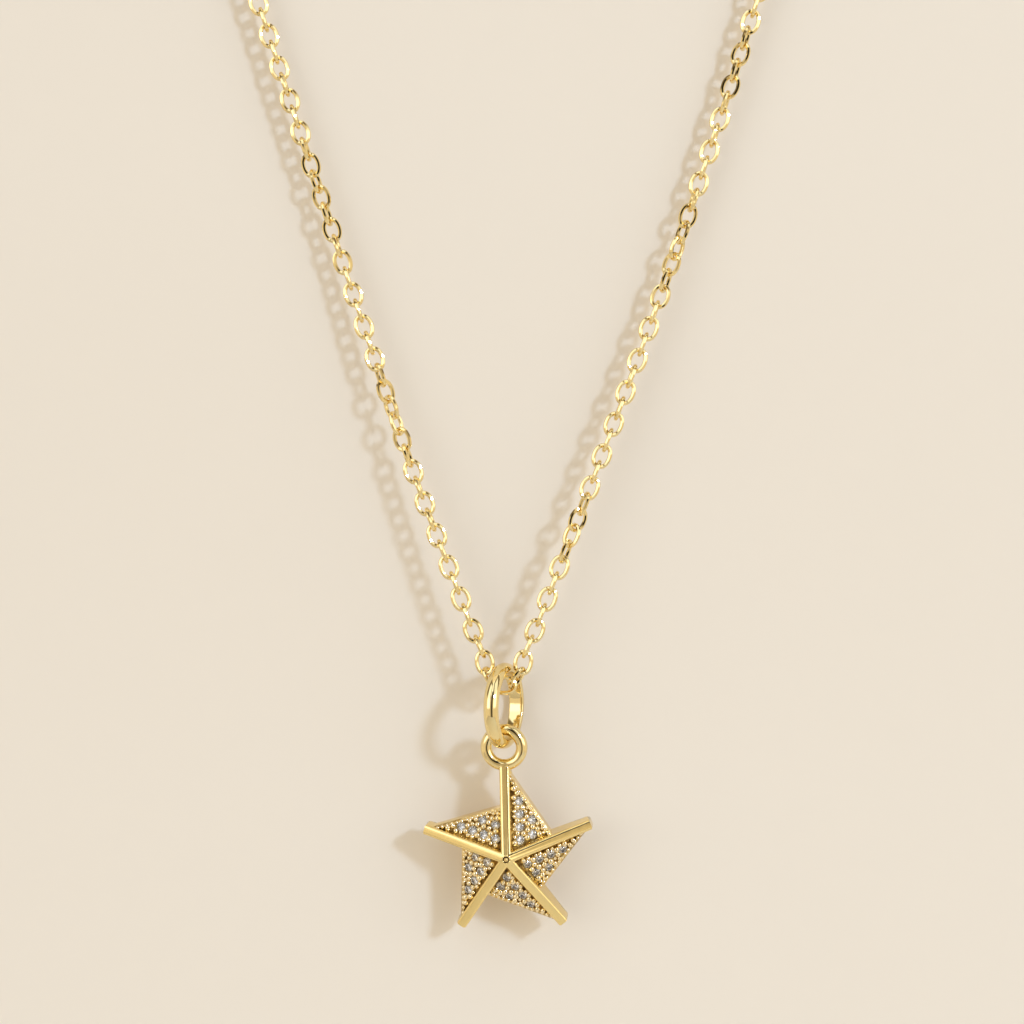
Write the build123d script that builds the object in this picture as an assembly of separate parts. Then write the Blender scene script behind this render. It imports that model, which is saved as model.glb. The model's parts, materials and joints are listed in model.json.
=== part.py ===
from build123d import *
import math
import os

# Star pendant on a cable chain, hanging as a whole loop.
# Millimetres, +Z up, front towards -Y. The origin is the top of the neck hollow, right under the clasp.

# Cable chain
link_length = 2.12
link_width = 1.60
link_wire = 0.33
link_gap = 0.10
front_strand_length = 59.8
links_per_turn_of_roll = 4

# Lean of each front strand from the vertical, in degrees, at shares of the strand from its lowest link up
left_lean = (
    (0.00, 33.0), (0.02, 8.0), (0.05, 25.0), (0.09, 20.5), (0.20, 21.0),
    (0.35, 19.0), (0.60, 18.2), (1.00, 17.8),
)
right_lean = (
    (0.00, 33.0), (0.02, 8.0), (0.05, 25.0), (0.09, 21.0), (0.25, 20.9),
    (0.45, 20.2), (0.70, 18.6), (1.00, 16.9),
)

# Roll of the links about the strand, in degrees, beyond the quarter turn from link to link
left_roll = (
    (0.00, 30.0), (0.02, 0.0), (0.32, 0.0), (0.48, 90.0), (0.60, 90.0),
    (0.72, 110.0), (0.86, 90.0), (1.00, 90.0),
)
right_roll = (
    (0.00, -30.0), (0.02, 0.0), (0.16, 0.0), (0.28, -90.0), (0.54, -90.0),
    (0.74, -180.0), (0.94, -205.0), (1.00, -180.0),
)

# Hidden stretch of chain on the right, from above the front strand to the clasp: distance from the middle and rise
# above the lowest link's centre. The left side mirrors it.
hidden_route = (
    (29.2, 85.0), (35.6, 111.5), (39.6, 136.5), (40.9, 157.0),
    (37.6, 175.5), (27.6, 189.5), (13.4, 196.6),
)
loop_rise = 198.0
tube_gap = 0.10
bend_share = 0.45

# Clasp
clasp_diameter = 6.0
clasp_wire = 1.1
eyelet_diameter = 2.3
eyelet_wire = 0.5
eyelet_overlap = 0.15
eyelet_gap = 0.15

# Bail
bail_inner_diameter = 5.4
bail_thickness = 0.75
bail_width = 1.20
bail_dome_edge = 0.30
bail_inner_round = 0.12
bail_link_gap = 0.25
bail_yaw = 20.5

# Ring soldered to the star
ring_hole_diameter = 1.92
ring_wire = 0.93
ring_bail_gap = 0.10
ring_height = 0.62

# Star
arm_names = ("top", "right", "lower_right", "lower_left", "left")
tip_radius = 7.05
corner_radius = 3.88
hub_height = 3.35
tip_height = 1.35
corner_height = 1.00
panel_drop = 0.30
bar_base_width = 0.98
bar_top_width = 0.82
bar_edge_round = 0.22
bar_end_round = 0.30
rim_width = 0.24
rim_rise = 0.12
dimple_radius = 0.27
hub_ball_radius = 0.20
hub_ball_sink = 0.04
star_yaw = 5.5
star_tilt = 3.0
star_roll = 2.6

# Stones and their seats
stone_diameter = 0.74
stone_pitch = 0.95
stone_row_pitch = 1.05
grain_strip = 0.34
stone_crown_share = 0.15
stone_pavilion_share = 0.43
stone_table_share = 0.58
stone_girdle = 0.03
stone_sides = 16
stone_sink = 0.04
seat_gap = 0.03
seat_floor_radius = 0.08
stone_edge_margin = 0.02

link_pitch = link_length - 2 * link_wire - link_gap
front_links = round((front_strand_length - link_pitch / 2) / link_pitch)
cradle_z = clasp_diameter / 2 - loop_rise
bail_centre_z = cradle_z + link_width / 2 + bail_link_gap - bail_inner_diameter / 2
arm_step = 360 / len(arm_names)

# The bail's corners clear the round hole that they pass through.
hole_room = ring_hole_diameter / 2 - ring_bail_gap
ring_drop = math.sqrt(hole_room**2 - (bail_width / 2) ** 2)
ring_centre_z = bail_centre_z - bail_inner_diameter / 2 - ring_drop
ring_centre_radius = (ring_hole_diameter + ring_wire) / 2
ring_offset = tip_radius + ring_centre_radius


def between(table, share):
    """Value of a two-column table at a share, on straight lines between its rows."""
    for (low, first), (high, second) in zip(table, table[1:]):
        if share <= high:
            return first + (second - first) * (share - low) / (high - low)
    return table[-1][1]


def chain_link():
    """One oval round-wire link, long along X, lying flat in the XZ plane."""
    bend = (link_width - link_wire) / 2
    straight = (link_length - link_wire) / 2 - bend
    upper = Line((-straight, 0, bend), (straight, 0, bend))
    lower = Line((straight, 0, -bend), (-straight, 0, -bend))
    right = ThreePointArc((straight, 0, bend), (straight + bend, 0, 0), (straight, 0, -bend))
    left = ThreePointArc((-straight, 0, -bend), (-straight - bend, 0, 0), (-straight, 0, bend))
    section = Plane(origin=(-straight, 0, bend), z_dir=(1, 0, 0)) * Circle(link_wire / 2)
    return sweep(section, path=Wire([upper, right, lower, left])).solid()


def strand(side, lean_table, roll_table):
    """Centre, direction and roll of each link of a front strand, from the lowest link outwards."""
    x = side * link_pitch / 2
    z = cradle_z
    places = []
    for number in range(front_links):
        share = number / (front_links - 1)
        lean = math.radians(between(lean_table, share))
        step_x = side * math.sin(lean)
        step_z = math.cos(lean)
        centre = Vector(x + step_x * link_pitch / 2, 0, z + step_z * link_pitch / 2)
        roll = (number + 1) * 360 / links_per_turn_of_roll + side * between(roll_table, share)
        places.append((centre, Vector(step_x, 0, step_z), roll))
        x += step_x * link_pitch
        z += step_z * link_pitch
    return places


def placed_link(link, centre, direction, roll):
    """The link moved to a centre, turned along a direction in the XZ plane and rolled about it."""
    frame = Plane(origin=centre, x_dir=direction, z_dir=direction.cross(Vector(0, 1, 0)))
    return frame.location * Rot(X=roll) * link


def hidden_tube(side, last_place):
    """Tube of the hidden stretch on one side, straight runs joined by tangent arcs."""
    centre, direction, _ = last_place
    start = centre + direction * (link_length / 2 + tube_gap)
    end_x = clasp_diameter / 2 + eyelet_diameter - eyelet_overlap + eyelet_gap
    points = [start]
    points += [Vector(side * x, 0, cradle_z + rise) for x, rise in hidden_route]
    points.append(Vector(side * end_x, 0, cradle_z + loop_rise))
    radii = []
    for before, corner, after in zip(points, points[1:], points[2:]):
        turn = math.radians((corner - before).get_angle(after - corner))
        shorter = min((corner - before).length, (after - corner).length)
        radii.append(bend_share * shorter / math.tan(turn / 2))
    path = FilletPolyline(*points, radius=radii)
    section = Plane(origin=start, z_dir=path % 0) * Circle(link_width / 2)
    tube = sweep(section, path=path).solid()
    expected = math.pi * link_width**2 / 4 * path.length
    print("hidden stretch", side, "length", round(path.length, 2), "radii", [round(radius, 1) for radius in radii])
    print("volume", round(tube.volume, 2), "section times length", round(expected, 2))
    return tube, path.length


def round_ring(centre_radius, wire):
    """Ring of round wire about Z, with its seams in the hole and at +Y, where nothing is soldered on."""
    section = Plane(origin=(0, centre_radius, 0), x_dir=(0, -1, 0), z_dir=(1, 0, 0)) * Circle(wire / 2)
    return revolve(section, axis=Axis.Z, revolution_arc=360).solid()


def clasp_piece():
    """Plain ring with an eyelet soldered on each side."""
    ring = round_ring((clasp_diameter - clasp_wire) / 2, clasp_wire)
    eyelet = round_ring((eyelet_diameter - eyelet_wire) / 2, eyelet_wire)
    eyelet_x = clasp_diameter / 2 + eyelet_diameter / 2 - eyelet_overlap
    piece = ring.fuse(Pos(-eyelet_x, 0, 0) * eyelet, Pos(eyelet_x, 0, 0) * eyelet)
    return (Pos(0, 0, cradle_z + loop_rise) * Rot(X=90) * piece).solid()


def bail_piece():
    """Round band, flat inside and domed outside, turned from the line across the chain by its yaw."""
    inner = bail_inner_diameter / 2
    half = bail_width / 2
    edge = inner + bail_dome_edge
    top = inner + bail_thickness
    flat = half - bail_inner_round
    low = inner + bail_inner_round
    outline = [
        Line((-flat, inner), (flat, inner)),
        RadiusArc((flat, inner), (half, low), -bail_inner_round),
        Line((half, low), (half, edge)),
        ThreePointArc((half, edge), (0, top), (-half, edge)),
        Line((-half, edge), (-half, low)),
        RadiusArc((-half, low), (-flat, inner), -bail_inner_round),
    ]
    section = Plane(origin=(0, 0, 0), x_dir=(1, 0, 0), z_dir=(0, -1, 0)) * make_face(outline)
    band = revolve(section, axis=Axis.X, revolution_arc=360).solid()
    return Pos(0, 0, bail_centre_z) * Rot(Z=-bail_yaw) * band


def arm_corner():
    """Plan point where the panel's outer edge meets the next bar, in the arm's own plan."""
    turn = math.radians(arm_step)
    return corner_radius * math.sin(turn), corner_radius * math.cos(turn)


def panel_height(x, y):
    """Height of a panel's face above the flat back, in the arm's own plan (x clockwise, y to the tip)."""
    hub = hub_height - panel_drop
    tip = tip_height - panel_drop
    corner_x, corner_y = arm_corner()
    along = (tip - hub) / tip_radius
    across = (corner_height - hub - along * corner_y) / corner_x
    return hub + along * y + across * x


def sloped_block(points, rise):
    """Block with upright sides on a plan outline, cut off a rise above the panel's face."""
    lower = [Vector(x, y, 0) for x, y in points]
    upper = [Vector(x, y, panel_height(x, y) + rise) for x, y in points]
    faces = [Face(Wire.make_polygon(lower)), Face(Wire.make_polygon(upper))]
    for index in range(len(points)):
        following = (index + 1) % len(points)
        side = [lower[index], lower[following], upper[following], upper[index]]
        faces.append(Face(Wire.make_polygon(side)))
    return Solid(Shell(faces))


def panel_block():
    """The panel under one arm's stones."""
    return sloped_block([(0, 0), (0, tip_radius), arm_corner()], 0)


def rim_block():
    """The raised rim along the panel's outer edge."""
    corner_x, corner_y = arm_corner()
    edge = Vector(corner_x, corner_y - tip_radius, 0)
    inward = Vector(edge.Y, -edge.X, 0).normalized() * rim_width
    tip_end = Vector(0, tip_radius, 0)
    corner_end = Vector(corner_x, corner_y, 0)
    tip_inner = tip_end + edge.normalized() * (rim_width * abs(edge.X / edge.Y)) + inward
    corner_inner = corner_end + inward
    points = [(tip_end.X, tip_end.Y), (corner_end.X, corner_end.Y), (corner_inner.X, corner_inner.Y)]
    return sloped_block(points + [(tip_inner.X, tip_inner.Y)], rim_rise)


def bar_section(distance, height):
    """Upright section of a ridge bar with rounded top edges, at a distance from the hub."""
    base = bar_base_width / 2
    top = bar_top_width / 2
    shoulder = height - bar_edge_round
    flat = top - bar_edge_round
    outline = [
        Line((-base, 0), (base, 0)),
        Line((base, 0), (top, shoulder)),
        RadiusArc((top, shoulder), (flat, height), -bar_edge_round),
        Line((flat, height), (-flat, height)),
        RadiusArc((-flat, height), (-top, shoulder), -bar_edge_round),
        Line((-top, shoulder), (-base, 0)),
    ]
    return Plane(origin=(0, distance, 0), x_dir=(-1, 0, 0), z_dir=(0, 1, 0)) * make_face(outline)


def ridge_bar():
    """One arm's ridge bar, falling from the hub to a rounded tip."""
    bar = loft([bar_section(0, hub_height), bar_section(tip_radius, tip_height)], ruled=True)
    plan = Rectangle(bar_base_width, 2 * tip_radius)
    plan = fillet(plan.vertices(), bar_end_round)
    return bar & extrude(plan, amount=hub_height)


def panel_plane():
    """Plane on the panel's face: origin at the hub, x away from the bar, y along the bar."""
    origin = Vector(0, 0, panel_height(0, 0))
    along = (Vector(0, tip_radius, panel_height(0, tip_radius)) - origin).normalized()
    corner_x, corner_y = arm_corner()
    to_corner = Vector(corner_x, corner_y, panel_height(corner_x, corner_y)) - origin
    normal = to_corner.cross(along).normalized()
    return Plane(origin=origin, x_dir=along.cross(normal), z_dir=normal)


def stone_spots():
    """Places of the stones on the panel's face, in rows along the bar, clear of bars and rim."""
    face = panel_plane()
    corner_x, corner_y = arm_corner()
    corner = face.to_local_coords(Vector(corner_x, corner_y, panel_height(corner_x, corner_y)))
    tip = face.to_local_coords(Vector(0, tip_radius, panel_height(0, tip_radius)))
    wall = corner.normalized()
    edge = (corner - tip).normalized()
    room = stone_diameter / 2 + seat_gap + stone_edge_margin
    bar_room = bar_base_width / 2 + room
    rim_room = rim_width + room
    spots = []
    across = (bar_base_width + stone_diameter) / 2 + grain_strip
    while across < corner.X:
        first = (bar_room + across * wall.Y) / wall.X
        last = tip.Y - (rim_room - across * edge.Y) / edge.X
        steps = math.floor((last - first) / stone_pitch)
        for number in range(steps + 1):
            spots.append((across, first + (last - first) * number / max(steps, 1)))
        across += stone_row_pitch
    return spots


def cut_stone():
    """Small single-cut stone: table, crown, girdle and pavilion, with the girdle's foot at Z = 0."""
    radius = stone_diameter / 2
    table = radius * stone_table_share
    crown = stone_girdle + stone_diameter * stone_crown_share
    half_sides = stone_sides // 2
    step = 2 * math.pi / stone_sides

    def ring(size, height, count, shift):
        turns = [shift + 2 * math.pi * k / count for k in range(count)]
        return [Vector(size * math.cos(turn), size * math.sin(turn), height) for turn in turns]

    girdle_low = ring(radius, 0, stone_sides, step / 2)
    girdle_high = ring(radius, stone_girdle, stone_sides, step / 2)
    table_ring = ring(table, crown, half_sides, step)
    culet = Vector(0, 0, -stone_diameter * stone_pavilion_share)
    outlines = [table_ring]
    for k in range(stone_sides):
        following = (k + 1) % stone_sides
        outlines.append([girdle_low[k], girdle_low[following], girdle_high[following], girdle_high[k]])
        outlines.append([girdle_low[following], girdle_low[k], culet])
    for k in range(half_sides):
        first = girdle_high[2 * k]
        second = girdle_high[2 * k + 1]
        third = girdle_high[(2 * k + 2) % stone_sides]
        outlines.append([first, second, table_ring[k]])
        outlines.append([second, third, table_ring[(k + 1) % half_sides], table_ring[k]])
    return Solid(Shell([Face(Wire.make_polygon(outline)) for outline in outlines]))


def seat_cutter():
    """Tapered seat bored for one stone, with its mouth above the panel's face."""
    depth = stone_sink + stone_diameter * stone_pavilion_share + seat_gap
    mouth = stone_diameter / 2 + seat_gap
    above = stone_sink
    taper = (mouth - seat_floor_radius) / depth
    return Solid.make_cone(seat_floor_radius, mouth + taper * above, depth + above, Plane(origin=(0, 0, -depth)))


def star_setting_local(spots):
    """Star with bars, panels, rims, seats, hub and ring, back at Z = 0 and top arm along Y."""
    arm = panel_block().fuse(rim_block(), ridge_bar())
    star = arm
    for index in range(1, len(arm_names)):
        star = star.fuse(Rot(Z=-index * arm_step) * arm)
    cutter = seat_cutter()
    cutters = []
    for index in range(len(arm_names)):
        frame = Rot(Z=-index * arm_step) * panel_plane().location
        cutters += [frame * Pos(x, y, 0) * cutter for x, y in spots]
    star = star.cut(*cutters)
    star = star.cut(Pos(0, 0, hub_height) * Sphere(dimple_radius))
    ball_height = hub_height - dimple_radius + hub_ball_radius - hub_ball_sink
    star = star.fuse(Pos(0, 0, ball_height) * Sphere(hub_ball_radius))
    return star.fuse(Pos(0, ring_offset, ring_height) * round_ring(ring_centre_radius, ring_wire))


def star_place():
    """Location that hangs the star by its ring: tilt, yaw and roll about the ring's centre."""
    hang = Pos(0, 0, ring_centre_z) * Rot(Z=-star_yaw) * Rot(X=star_tilt) * Rot(Y=-star_roll)
    stand = Rot(X=90) * Pos(0, -ring_offset, -ring_height)
    return hang * stand


def save(name, solids):
    """Writes one node's solids to its STEP file."""
    shape = solids[0] if len(solids) == 1 else Compound(children=solids)
    shape.label = name
    export_step(shape, f"parts/{name}.step")


os.makedirs("parts", exist_ok=True)

link = chain_link()
left_places = strand(-1, left_lean, left_roll)
right_places = strand(1, right_lean, right_roll)
cradle = placed_link(link, Vector(0, 0, cradle_z), Vector(1, 0, 0), 0)
front = [cradle] + [placed_link(link, *place) for place in left_places + right_places]
save("chain_front", front)

left_tube, left_length = hidden_tube(-1, left_places[-1])
right_tube, right_length = hidden_tube(1, right_places[-1])
save("chain_back", [left_tube, right_tube])
print("front links", len(front), "loop", round(left_length + right_length + len(front) * link_pitch, 1))

save("clasp", [clasp_piece()])
save("bail", [bail_piece()])

spots = stone_spots()
place = star_place()
setting = place * star_setting_local(spots)
print("stones in each panel", len(spots), "setting solids", len(setting.solids()))
save("star_setting", list(setting.solids()))
stone = Pos(0, 0, -stone_sink) * cut_stone()
for index, arm in enumerate(arm_names):
    frame = place * Rot(Z=-index * arm_step) * panel_plane().location
    save(f"stones_{arm}", [frame * Pos(x, y, 0) * stone for x, y in spots])
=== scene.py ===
"""Star pendant on a cable chain: finishes, grains, links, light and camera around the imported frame.

Metres, +Z up, front towards -Y. The loop hangs from the top of the neck hollow, which is the origin.
"""

import json
import logging
import math
from collections.abc import Sequence
from dataclasses import asdict, dataclass
from enum import Enum, IntEnum

import bmesh
import bpy
import numpy as np
from bpy.types import ID, Material, Mesh, Node, NodeSocket, NodeTree, Object
from mathutils import Matrix, Vector

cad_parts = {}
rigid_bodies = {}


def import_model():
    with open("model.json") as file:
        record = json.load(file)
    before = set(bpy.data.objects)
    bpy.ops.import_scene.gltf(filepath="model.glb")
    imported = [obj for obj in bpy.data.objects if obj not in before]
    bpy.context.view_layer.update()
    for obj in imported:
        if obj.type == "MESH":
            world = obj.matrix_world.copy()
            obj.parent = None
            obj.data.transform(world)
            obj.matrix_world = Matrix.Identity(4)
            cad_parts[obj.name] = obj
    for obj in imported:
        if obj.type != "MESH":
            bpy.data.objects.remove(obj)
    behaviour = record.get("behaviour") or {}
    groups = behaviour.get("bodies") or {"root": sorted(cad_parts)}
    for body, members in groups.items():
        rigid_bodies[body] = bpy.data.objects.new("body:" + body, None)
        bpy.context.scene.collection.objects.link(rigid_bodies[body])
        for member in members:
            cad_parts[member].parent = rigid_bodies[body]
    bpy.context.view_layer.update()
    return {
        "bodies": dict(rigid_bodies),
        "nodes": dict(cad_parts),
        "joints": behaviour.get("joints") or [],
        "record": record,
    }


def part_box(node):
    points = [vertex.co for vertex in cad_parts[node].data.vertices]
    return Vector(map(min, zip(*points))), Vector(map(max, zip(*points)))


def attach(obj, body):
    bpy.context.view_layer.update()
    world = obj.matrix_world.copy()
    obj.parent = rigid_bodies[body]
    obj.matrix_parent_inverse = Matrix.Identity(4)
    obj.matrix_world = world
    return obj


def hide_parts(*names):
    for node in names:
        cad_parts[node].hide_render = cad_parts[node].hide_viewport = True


LOG = logging.getLogger("star_pendant")
MM = 0.001
WELD = 0.0005 * MM
ARMS = ("top", "right", "lower_right", "lower_left", "left")
CLASP_EDGE = math.radians(32.0)
STONE_EDGE = math.radians(5.0)
# A node stands for its first output
Output = Node | NodeSocket


class Slot(Enum):
    """Material slots of the record that the pieces take their finish from."""

    GOLD = "gold"
    STONES = "stones"


class Colour(Enum):
    """Linear colours of the metal, the stones and the studio."""

    YELLOW_GOLD = (0.93, 0.75, 0.37)
    RICH_GOLD = (0.94, 0.735, 0.32)
    # Paler than the other gold: painted highlight, standing in for the grains' white glints
    PAINTED_HIGHLIGHT_GRAIN_GOLD = (0.93, 0.77, 0.47)
    BROWN_GOLD = (0.62, 0.38, 0.10)
    # Near-black end of the bed's tones: painted shade in the hollows between grains and stones, and in the
    # hub's dimple
    PAINTED_SHADE_GOLD = (0.06, 0.026, 0.006)
    CLEAR_STONE = (1.0, 0.98, 0.95)
    SMOKY_STONE = (0.80, 0.73, 0.62)
    CREAM_WALL = (0.838, 0.745, 0.607)
    PALE_FLOOR = (0.94, 0.88, 0.78)
    WARM_ROOM = (1.0, 0.80, 0.56)
    SOFT_BOX = (1.0, 0.90, 0.74)
    WHITE_BOX = (0.84, 0.91, 1.0)
    COOL_KEY = (0.50, 0.68, 1.0)

    def darker(self, share: float) -> tuple[float, ...]:
        """The colour with that share of its light taken away."""
        return tuple(part * (1.0 - share) for part in self.value)


class Tree:
    """Adds nodes to a node tree and joins them."""

    spacing = 180

    def __init__(self, tree: NodeTree) -> None:
        """Keeps the shader or geometry tree that is built on."""
        self.tree = tree

    def add(self, kind: str, values: dict | None = None, **settings: object) -> Node:
        """Adds one node.

        Args:
            kind: Blender's name of the node.
            values: input name or number to a constant or to an output that feeds it.
            settings: properties of the node itself.

        Returns:
            The new node.
        """
        node = self.tree.nodes.new(kind)
        node.location.x = self.spacing * len(self.tree.nodes)
        for name, value in settings.items():
            setattr(node, name, value)
        self.feed(node, values or {})
        return node

    def feed(self, node: Node, values: dict) -> None:
        """Sets inputs of a node.

        Args:
            node: the node.
            values: input name or number to a constant or to an output that feeds it.
        """
        for key, value in values.items():
            if isinstance(value, Node):
                value = value.outputs[0]
            if isinstance(value, NodeSocket):
                self.tree.links.new(value, node.inputs[key])
            else:
                node.inputs[key].default_value = value

    def math(self, operation: str, first: object, second: object = 0.0, third: object = 0.0) -> Output:
        """Result of a math node, whose inputs are constants or outputs."""
        return self.add("ShaderNodeMath", {0: first, 1: second, 2: third}, operation=operation)


class MaterialTree(Tree):
    """The node tree of a new material, with its shader and the piece's own coordinates."""

    def __init__(self, name: str) -> None:
        """Makes the material.

        Args:
            name: the material's name.
        """
        self.material = bpy.data.materials.new(name)
        self.material.use_nodes = True
        self.material.node_tree.nodes.clear()
        super().__init__(self.material.node_tree)
        self.shader = self.add("ShaderNodeBsdfPrincipled")
        self.out = self.add("ShaderNodeOutputMaterial", {"Surface": self.shader})
        self.place = self.add("ShaderNodeTexCoord").outputs["Object"]

    def noise(self, scale: float, detail: float) -> Output:
        """Value of a noise texture of so many cells a metre and so many finer layers."""
        values = {"Vector": self.place, "Scale": scale, "Detail": detail}
        return self.add("ShaderNodeTexNoise", values)

    def tones(self, share: Output, low: tuple, high: tuple, start: float = 0.0,
              end: float = 1.0) -> Output:
        """Colour between two tones.

        Args:
            share: value that picks the tone.
            low: linear colour at the start.
            high: linear colour at the end.
            start: value of the first tone.
            end: value of the second tone.

        Returns:
            The colour's output.
        """
        ramp = self.add("ShaderNodeValToRGB", {"Fac": share})
        for element, position, colour in zip(ramp.color_ramp.elements, (start, end), (low, high)):
            element.position = position
            element.color = (*colour, 1.0)
        return ramp


@dataclass(frozen=True)
class GoldFinish:
    """Gold plate over brass, with faint waves, a soft grain and slight changes of tone."""

    name: str
    colour: Colour = Colour.YELLOW_GOLD
    deep: Colour | None = None
    tone_spread: float = 0.06
    tone_scale: float = 900.0
    tone_detail: float = 3.0
    roughness: float = 0.035
    roughness_spread: float = 0.035
    grain_scale: float = 26000.0
    grain_detail: float = 2.0
    grain_depth: float = 0.02
    grain_height: float = 0.02 * MM
    wave_scale: float = 1500.0
    wave_detail: float = 1.0
    wave_depth: float = 0.035
    wave_height: float = 0.2 * MM
    tone_start: float = 0.3
    tone_end: float = 0.7

    def material(self) -> Material:
        """Builds the material.

        Returns:
            The finished material.
        """
        tree = MaterialTree(self.name)
        tone = tree.noise(self.tone_scale, self.tone_detail)
        low = self.deep.value if self.deep else self.colour.darker(self.tone_spread)
        rough = tree.add("ShaderNodeMapRange", {
            "Value": tone, "From Min": self.tone_start, "From Max": self.tone_end,
            "To Min": self.roughness, "To Max": self.roughness + self.roughness_spread,
        })
        waves = tree.add("ShaderNodeBump", {
            "Height": tree.noise(self.wave_scale, self.wave_detail),
            "Strength": self.wave_depth, "Distance": self.wave_height,
        })
        grains = tree.add("ShaderNodeBump", {
            "Height": tree.noise(self.grain_scale, self.grain_detail),
            "Strength": self.grain_depth, "Distance": self.grain_height, "Normal": waves,
        })
        tree.feed(tree.shader, {
            "Base Color": tree.tones(tone, low, self.colour.value, self.tone_start, self.tone_end),
            "Metallic": 1.0, "Roughness": rough, "Normal": grains,
        })
        return tree.material


@dataclass(frozen=True)
class StoneFinish:
    """Clear cut stone of high refraction, faintly smoky in places."""

    name: str
    refraction: float = 2.15
    roughness: float = 0.02
    cloud_scale: float = 2500.0
    cloud_detail: float = 1.0

    def material(self) -> Material:
        """Builds the material.

        Returns:
            The finished material.
        """
        tree = MaterialTree(self.name)
        cloud = tree.noise(self.cloud_scale, self.cloud_detail)
        tree.feed(tree.shader, {
            "Base Color": tree.tones(cloud, Colour.SMOKY_STONE.value, Colour.CLEAR_STONE.value),
            "Roughness": self.roughness, "IOR": self.refraction, "Transmission Weight": 1.0,
        })
        return tree.material


@dataclass(frozen=True)
class MattFinish:
    """Matt paint of the walls or the floor, with the faintest mottling.

    One-sided paint is clear from behind, and clear where its surface is turned away from the front.
    """

    name: str
    colour: Colour
    mottle: float = 0.012
    mottle_scale: float = 60.0
    mottle_detail: float = 4.0
    roughness: float = 0.9
    gloss: float = 0.1
    one_sided: bool = False
    least_facing: float = 0.99

    def material(self) -> Material:
        """Builds the material.

        Returns:
            The finished material.
        """
        tree = MaterialTree(self.name)
        mottling = tree.noise(self.mottle_scale, self.mottle_detail)
        tree.feed(tree.shader, {
            "Base Color": tree.tones(mottling, self.colour.darker(self.mottle), self.colour.value),
            "Roughness": self.roughness, "Specular IOR Level": self.gloss,
        })
        if self.one_sided:
            clear = tree.add("ShaderNodeBsdfTransparent")
            surface = tree.add("ShaderNodeNewGeometry")
            facing = tree.add("ShaderNodeSeparateXYZ", {0: surface.outputs["True Normal"]}).outputs["Y"]
            turned = tree.math("LESS_THAN", tree.math("ABSOLUTE", facing), self.least_facing)
            hidden = tree.math("MAXIMUM", surface.outputs["Backfacing"], turned)
            mix = tree.add("ShaderNodeMixShader", {0: hidden, 1: tree.shader, 2: clear})
            tree.feed(tree.out, {"Surface": mix})
        return tree.material


def new_object(name: str, data: ID) -> Object:
    """Makes an object at the origin and links it to the scene.

    Args:
        name: the object's name.
        data: its mesh, curve, light or camera.

    Returns:
        The new object.
    """
    made = bpy.data.objects.new(name, data)
    bpy.context.scene.collection.objects.link(made)
    return made


def mesh_object(name: str, points: np.ndarray, faces: list) -> Object:
    """Makes a smooth mesh object at the origin with its place in its mesh.

    Args:
        name: the object's name.
        points: vertices in metres.
        faces: vertex numbers of each face.

    Returns:
        The new object, linked to the scene.
    """
    mesh = bpy.data.meshes.new(name)
    mesh.from_pydata([tuple(point) for point in points], [], [tuple(face) for face in faces])
    mesh.shade_smooth()
    return new_object(name, mesh)


def plain_mesh(source: Object, name: str) -> Object:
    """Turns an object with live Geometry Nodes into a plain mesh object, and removes the first one.

    Args:
        source: the object that carries the modifier.
        name: the new object's name.

    Returns:
        The plain object.
    """
    bpy.context.view_layer.update()
    graph = bpy.context.evaluated_depsgraph_get()
    mesh = bpy.data.meshes.new_from_object(source.evaluated_get(graph))
    mesh.name = name
    bpy.data.objects.remove(source)
    return new_object(name, mesh)


def joined(pieces: list[Object], name: str) -> Object:
    """Joins plain mesh objects of one material into one.

    Args:
        pieces: objects at the origin.
        name: name of the joined object.

    Returns:
        The joined object.
    """
    with bpy.context.temp_override(active_object=pieces[0], selected_editable_objects=pieces):
        bpy.ops.object.join()
    pieces[0].name = name
    pieces[0].data.name = name
    return pieces[0]


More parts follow.
